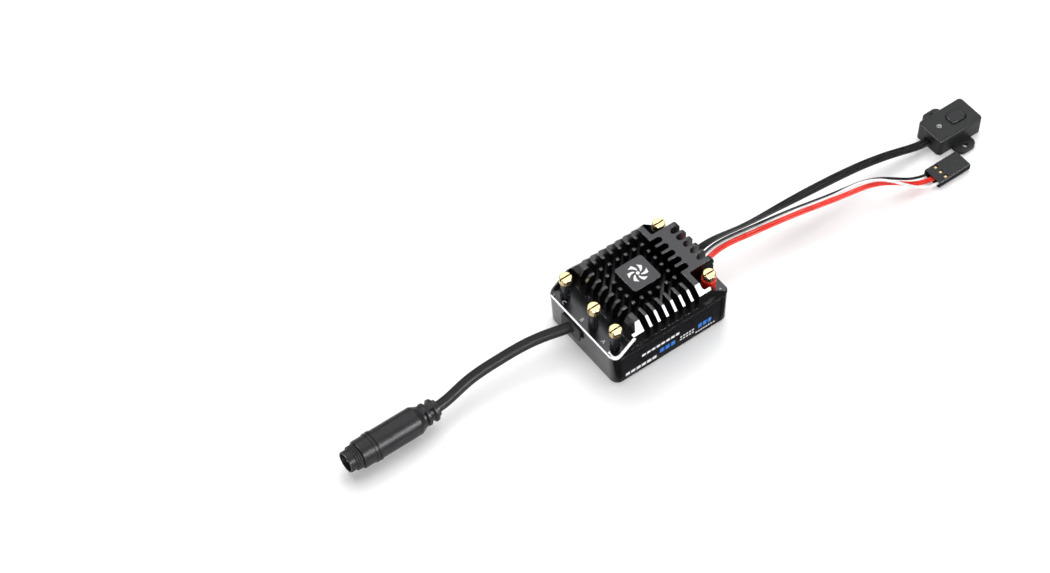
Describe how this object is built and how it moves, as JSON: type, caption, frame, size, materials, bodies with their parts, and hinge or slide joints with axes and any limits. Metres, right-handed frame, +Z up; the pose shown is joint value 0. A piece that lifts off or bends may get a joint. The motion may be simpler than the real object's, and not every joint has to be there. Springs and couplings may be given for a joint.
{
  "type": "electronic speed controller",
  "caption": "Compact brushless motor speed controller: finned heat sink on a plastic case, slotted solder posts, sensor cable with round plug, receiver lead and power switch.",
  "frame": {"origin": "centre of the underside of the case", "axes": "+Z up out of the heat sink, +X towards the battery posts and leads, -X towards the sensor cable, -Y towards the label"},
  "size_m": [0.2595, 0.0369, 0.0245],
  "materials": {
    "anodised": "fine satin anodised",
    "case_plastic": "smooth semi-gloss",
    "label_film": "printed gloss film",
    "gasket_rubber": "matte",
    "screw_steel": "black oxide",
    "board": "solder mask",
    "chip": "moulded epoxy",
    "pad": "soft silicone",
    "can": "drawn can",
    "ferrite": "pressed powder",
    "gilt": "gold plated",
    "bush_black": "moulded",
    "bush_red": "moulded",
    "cable_black": "matte jacket",
    "plug_rubber": "overmoulded",
    "seal": "matte",
    "wire_black": "silicone",
    "wire_red": "silicone",
    "wire_white": "silicone",
    "housing": "moulded",
    "clear": "clear acrylic"
  },
  "bodies": {
    "controller": {"heat_sink": "anodised", "case_shell": "case_plastic", "case_gasket": "gasket_rubber", "side_label": "label_film", "case_screws": "screw_steel", "power_board": "board", "control_board": "board", "board_spacers": "chip", "board_rests": "housing", "mosfets": "chip", "thermal_pad": "pad", "input_capacitors": "can", "regulator_inductor": "ferrite", "microcontroller": "chip", "gate_drivers": "chip", "board_header": "housing", "sensor_header": "housing", "motor_post_bushes": "bush_black", "battery_bush_positive": "bush_red", "battery_bush_negative": "bush_black", "sensor_grommet": "seal", "sensor_cable": "cable_black", "sensor_strain_relief": "plug_rubber", "sensor_plug_body": "plug_rubber", "sensor_plug_collar": "plug_rubber", "sensor_plug_nose": "plug_rubber", "sensor_plug_seals": "seal", "sensor_pin_carrier": "housing", "sensor_pins": "gilt", "lead_grommet": "seal", "switch_lead": "wire_black", "receiver_wire_black": "wire_black", "receiver_wire_white": "wire_white", "receiver_wires_red": "wire_red", "receiver_plug": "housing", "receiver_contacts": "gilt", "switch_base": "housing", "switch_cover": "housing", "switch_board": "board", "tact_switch": "chip", "status_light": "clear", "light_window": "clear", "motor_post_a": "gilt", "motor_post_b": "gilt", "motor_post_c": "gilt", "battery_post_positive": "gilt", "battery_post_negative": "gilt"},
    "power_button": {"switch_button": "plug_rubber", "tact_plunger": "housing"}
  },
  "joints": [
    {"name": "button_press", "type": "slide", "parent": "controller", "child": "power_button", "axis": [0, 0, -1], "range_m": [0, 0.00035], "stiffness_N_per_m": 10, "springref_m": -0.0003}
  ]
}
